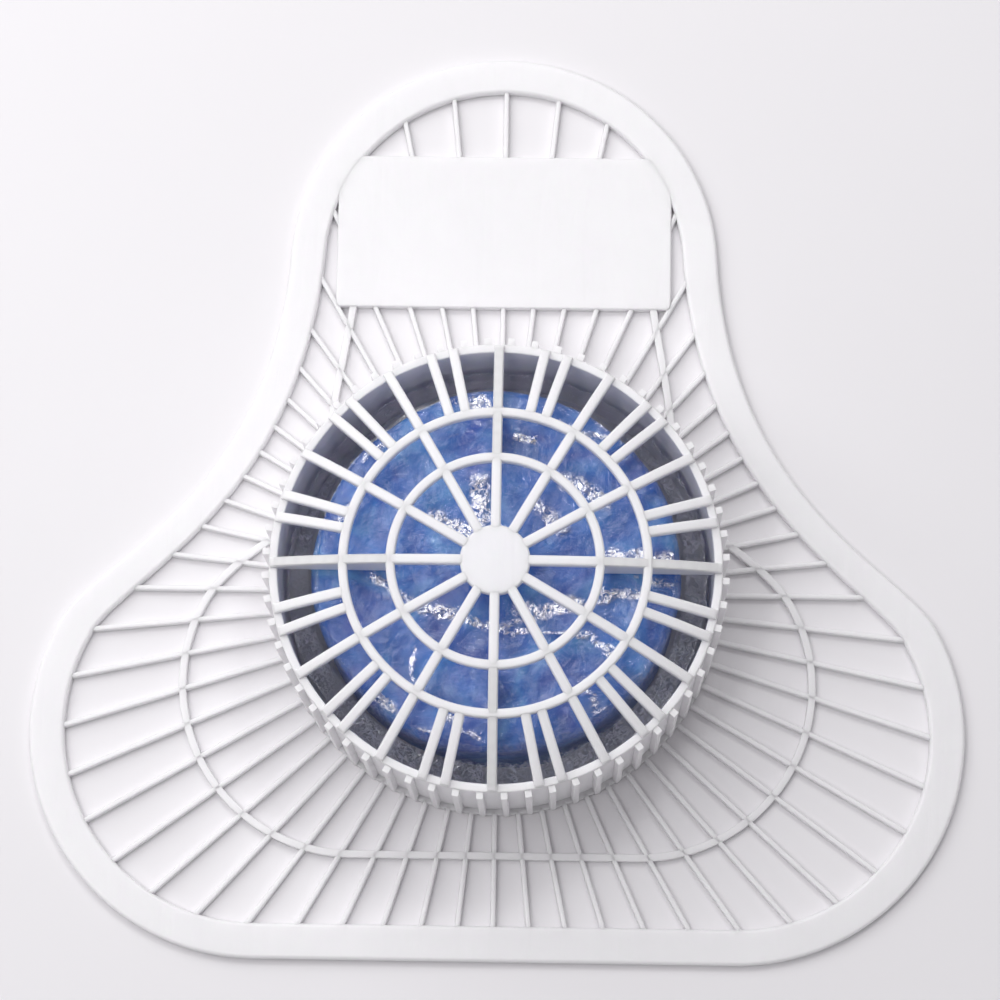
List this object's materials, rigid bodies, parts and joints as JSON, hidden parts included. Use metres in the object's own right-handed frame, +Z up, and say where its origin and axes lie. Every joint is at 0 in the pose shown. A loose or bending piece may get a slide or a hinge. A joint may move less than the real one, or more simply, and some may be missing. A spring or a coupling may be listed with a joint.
{
  "type": "urinal deodorizer screen",
  "caption": "Flat white plastic urinal screen with radial ribs and a round cage that holds a film-wrapped blue deodorizer block.",
  "frame": {"origin": "on the underside, at the middle of the part's plan box", "axes": "+Z up out of the flat screen towards the cage's domed top, +Y towards the label plate's end, +X to the right seen from above"},
  "size_m": [0.1814, 0.18, 0.0392],
  "materials": {
    "white_plastic": "satin moulded polyethylene, very pale lilac-white",
    "blue_block": "pressed waxy cake, deep blue",
    "clear_film": "clear crinkled film"
  },
  "bodies": {
    "root": {"screen": "white_plastic", "cage_wall": "white_plastic", "cage_top": "white_plastic", "deodorizer_block": "blue_block", "film_wrapper": "clear_film"}
  },
  "joints": []
}
